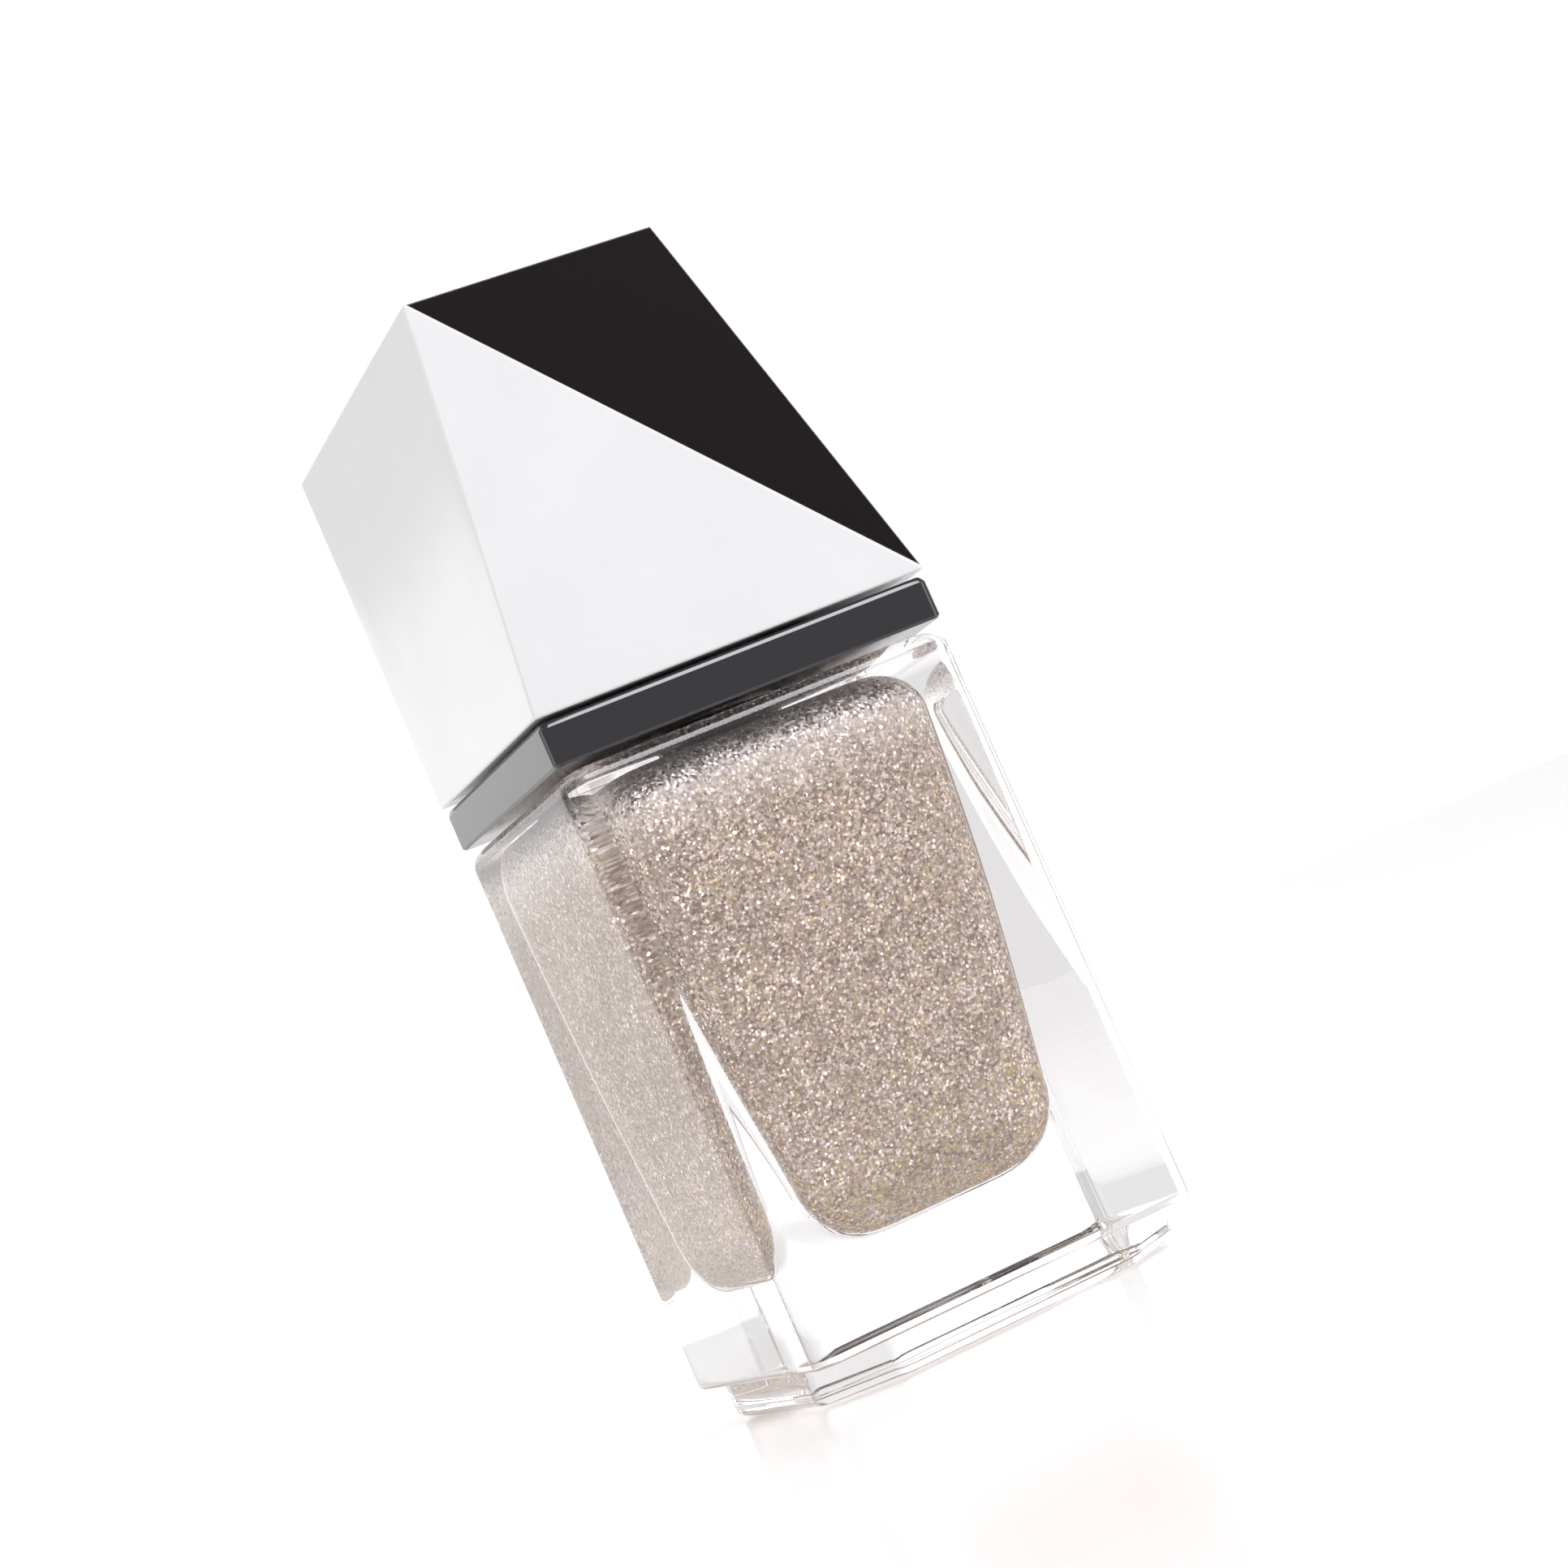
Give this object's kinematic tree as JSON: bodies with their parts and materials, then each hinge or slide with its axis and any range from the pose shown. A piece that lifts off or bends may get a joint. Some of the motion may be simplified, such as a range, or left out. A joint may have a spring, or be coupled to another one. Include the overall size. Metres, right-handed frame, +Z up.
{
  "type": "nail polish bottle",
  "caption": "Square glass nail polish bottle with a faceted two-tone screw cap, a square collar, an internal brush and glitter polish.",
  "frame": {"origin": "centre of the base that the bottle stands on", "axes": "+Z up along the bottle's axis, -Y towards the front with the white triangle, +X to the right of that front"},
  "size_m": [0.025, 0.025, 0.0693],
  "materials": {
    "clear_glass": "polished clear",
    "glitter_polish": "champagne silver glitter in clear lacquer",
    "steel": "polished",
    "liner_foam": "matte foam",
    "stem_plastic": "satin",
    "nylon": "soft filaments",
    "inner_cap_plastic": "satin",
    "black_collar": "high gloss",
    "white_gloss": "high gloss lacquer",
    "black_gloss": "high gloss lacquer"
  },
  "bodies": {
    "bottle": {"glass_bottle": "clear_glass", "nail_polish": "glitter_polish", "mixing_ball_1": "steel", "mixing_ball_2": "steel"},
    "liner": {"sealing_liner": "liner_foam"},
    "brush": {"brush_stem": "stem_plastic", "brush_bristles": "nylon", "bristle_anchor": "steel"},
    "cap": {"inner_cap": "inner_cap_plastic", "collar": "black_collar", "cap_shell": "white_gloss", "facet_panel": "black_gloss"}
  },
  "joints": [
    {"name": "brush_withdraw", "type": "slide", "parent": "bottle", "child": "liner", "axis": [0, 0, 1], "range_m": [0, 0.046]},
    {"name": "cap_rise", "type": "slide", "parent": "liner", "child": "brush", "axis": [0, 0, 1], "range_m": [0, 0.00266]},
    {"name": "cap_turn", "type": "hinge", "parent": "brush", "child": "cap", "pos_m": [0, 0, 0.045], "axis": [0, 0, 1], "range_deg": [0, 450]}
  ],
  "couplings": [
    {"joint": "cap_rise", "follows": "cap_turn", "m_per_rad": 0.00033741}
  ]
}
